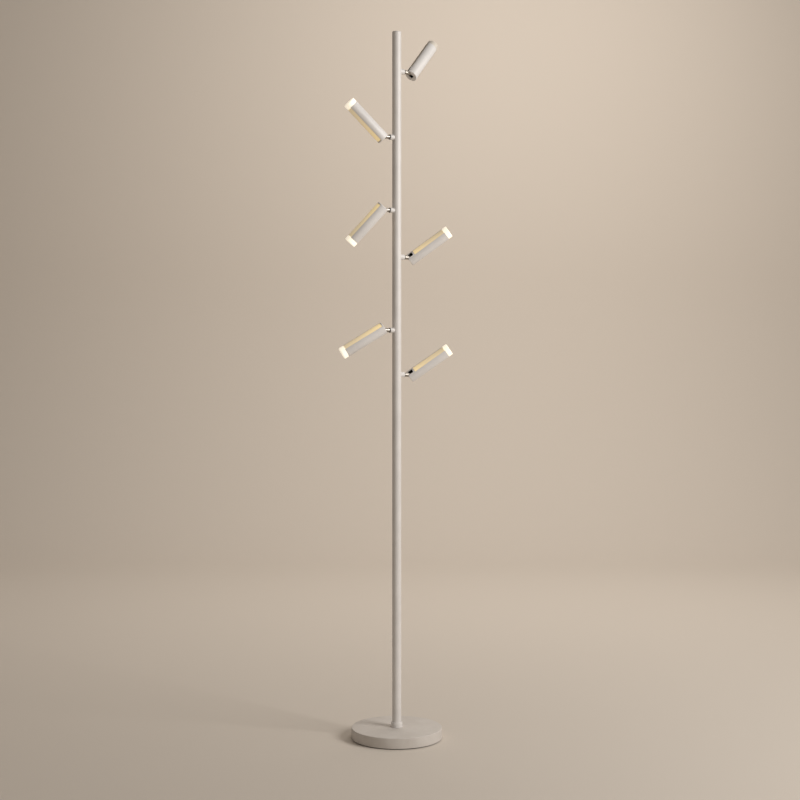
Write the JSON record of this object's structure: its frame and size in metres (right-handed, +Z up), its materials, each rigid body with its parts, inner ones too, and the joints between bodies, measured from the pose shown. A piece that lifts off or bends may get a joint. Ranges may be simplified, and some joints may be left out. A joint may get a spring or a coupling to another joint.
{
  "type": "tree floor lamp",
  "caption": "Floor lamp with a round weighted base, a slim pole and tubular spot heads on both sides; each head pans about its arm and tilts at its tail.",
  "frame": {"origin": "centre of the foot pad's underside, on the floor and on the pole's axis", "axes": "+Z up along the pole; +X along the arms of heads 1, 4 and 6, -X along the arms of heads 2, 3 and 5; +Y to the rear, where the cable inlet is"},
  "size_m": [0.2704, 0.2215, 1.72],
  "materials": {
    "powder_coated_steel": "satin",
    "powder_coated_aluminium": "satin",
    "black_anodised_aluminium": "matte",
    "nickel_plated_steel": "satin",
    "black_acetal": "satin",
    "opal_acrylic": "satin",
    "zinc_plated_steel": "satin",
    "cast_iron": "matte",
    "black_rubber": "matte",
    "driver_plastic": "matte",
    "circuit_board": "satin",
    "wire_insulation": "satin"
  },
  "bodies": {
    "stand": {"base_cover": "powder_coated_steel", "base_ballast": "cast_iron", "foot_pad": "black_rubber", "cable_grommet": "black_rubber", "led_driver": "driver_plastic", "driver_screws": "zinc_plated_steel", "pole_lower": "powder_coated_steel", "pole_upper": "powder_coated_steel", "pole_coupler": "zinc_plated_steel", "pole_stud": "zinc_plated_steel", "pole_nut": "zinc_plated_steel", "foot_collar": "powder_coated_steel", "top_cap": "powder_coated_steel", "friction_rings": "black_acetal", "wiring_harness": "wire_insulation", "arm_boss_1": "powder_coated_steel", "arm_boss_2": "powder_coated_steel", "arm_boss_3": "powder_coated_steel", "arm_boss_4": "powder_coated_steel", "arm_boss_5": "powder_coated_steel", "arm_boss_6": "powder_coated_steel"},
    "swivel_1": {"swivel_arm_1": "nickel_plated_steel"},
    "head_1": {"head_1_housing": "powder_coated_aluminium", "head_1_hinge_core": "black_anodised_aluminium", "head_1_hinge_pin": "zinc_plated_steel", "head_1_led_board": "circuit_board", "head_1_light_guide": "opal_acrylic"},
    "swivel_2": {"swivel_arm_2": "nickel_plated_steel"},
    "head_2": {"head_2_housing": "powder_coated_aluminium", "head_2_hinge_core": "black_anodised_aluminium", "head_2_hinge_pin": "zinc_plated_steel", "head_2_led_board": "circuit_board", "head_2_light_guide": "opal_acrylic"},
    "swivel_3": {"swivel_arm_3": "nickel_plated_steel"},
    "head_3": {"head_3_housing": "powder_coated_aluminium", "head_3_hinge_core": "black_anodised_aluminium", "head_3_hinge_pin": "zinc_plated_steel", "head_3_led_board": "circuit_board", "head_3_light_guide": "opal_acrylic"},
    "swivel_4": {"swivel_arm_4": "nickel_plated_steel"},
    "head_4": {"head_4_housing": "powder_coated_aluminium", "head_4_hinge_core": "black_anodised_aluminium", "head_4_hinge_pin": "zinc_plated_steel", "head_4_led_board": "circuit_board", "head_4_light_guide": "opal_acrylic"},
    "swivel_5": {"swivel_arm_5": "nickel_plated_steel"},
    "head_5": {"head_5_housing": "powder_coated_aluminium", "head_5_hinge_core": "black_anodised_aluminium", "head_5_hinge_pin": "zinc_plated_steel", "head_5_led_board": "circuit_board", "head_5_light_guide": "opal_acrylic"},
    "swivel_6": {"swivel_arm_6": "nickel_plated_steel"},
    "head_6": {"head_6_housing": "powder_coated_aluminium", "head_6_hinge_core": "black_anodised_aluminium", "head_6_hinge_pin": "zinc_plated_steel", "head_6_led_board": "circuit_board", "head_6_light_guide": "opal_acrylic"}
  },
  "joints": [
    {"name": "pan_1", "type": "hinge", "parent": "stand", "child": "swivel_1", "pos_m": [0, 0, 1.625], "axis": [1, 0, 0], "range_deg": [-160, 180]},
    {"name": "tilt_1", "type": "hinge", "parent": "swivel_1", "child": "head_1", "pos_m": [0.047, 0, 1.625], "axis": [0, -0.9848, 0.1736], "range_deg": [-50.5, 39.5]},
    {"name": "pan_2", "type": "hinge", "parent": "stand", "child": "swivel_2", "pos_m": [0, 0, 1.4615], "axis": [-1, 0, 0], "range_deg": [-182, 158]},
    {"name": "tilt_2", "type": "hinge", "parent": "swivel_2", "child": "head_2", "pos_m": [-0.047, 0, 1.4615], "axis": [0, 0.9781, -0.2079], "range_deg": [-44, 46]},
    {"name": "pan_3", "type": "hinge", "parent": "stand", "child": "swivel_3", "pos_m": [0, 0, 1.284], "axis": [-1, 0, 0], "range_deg": [-322, 18]},
    {"name": "tilt_3", "type": "hinge", "parent": "swivel_3", "child": "head_3", "pos_m": [-0.047, 0, 1.284], "axis": [0, -0.8829, -0.4695], "range_deg": [-56.5, 33.5]},
    {"name": "pan_4", "type": "hinge", "parent": "stand", "child": "swivel_4", "pos_m": [0, 0, 1.172], "axis": [1, 0, 0], "range_deg": [-212, 128]},
    {"name": "tilt_4", "type": "hinge", "parent": "swivel_4", "child": "head_4", "pos_m": [0.047, 0, 1.172], "axis": [0, -0.7431, -0.6691], "range_deg": [-51.5, 38.5]},
    {"name": "pan_5", "type": "hinge", "parent": "stand", "child": "swivel_5", "pos_m": [0, 0, 0.9925], "axis": [-1, 0, 0], "range_deg": [-315, 25]},
    {"name": "tilt_5", "type": "hinge", "parent": "swivel_5", "child": "head_5", "pos_m": [-0.047, 0, 0.9925], "axis": [0, -0.8192, -0.5736], "range_deg": [-40, 50]},
    {"name": "pan_6", "type": "hinge", "parent": "stand", "child": "swivel_6", "pos_m": [0, 0, 0.885], "axis": [1, 0, 0], "range_deg": [-210, 130]},
    {"name": "tilt_6", "type": "hinge", "parent": "swivel_6", "child": "head_6", "pos_m": [0.047, 0, 0.885], "axis": [0, -0.766, -0.6428], "range_deg": [-48.5, 41.5]}
  ]
}
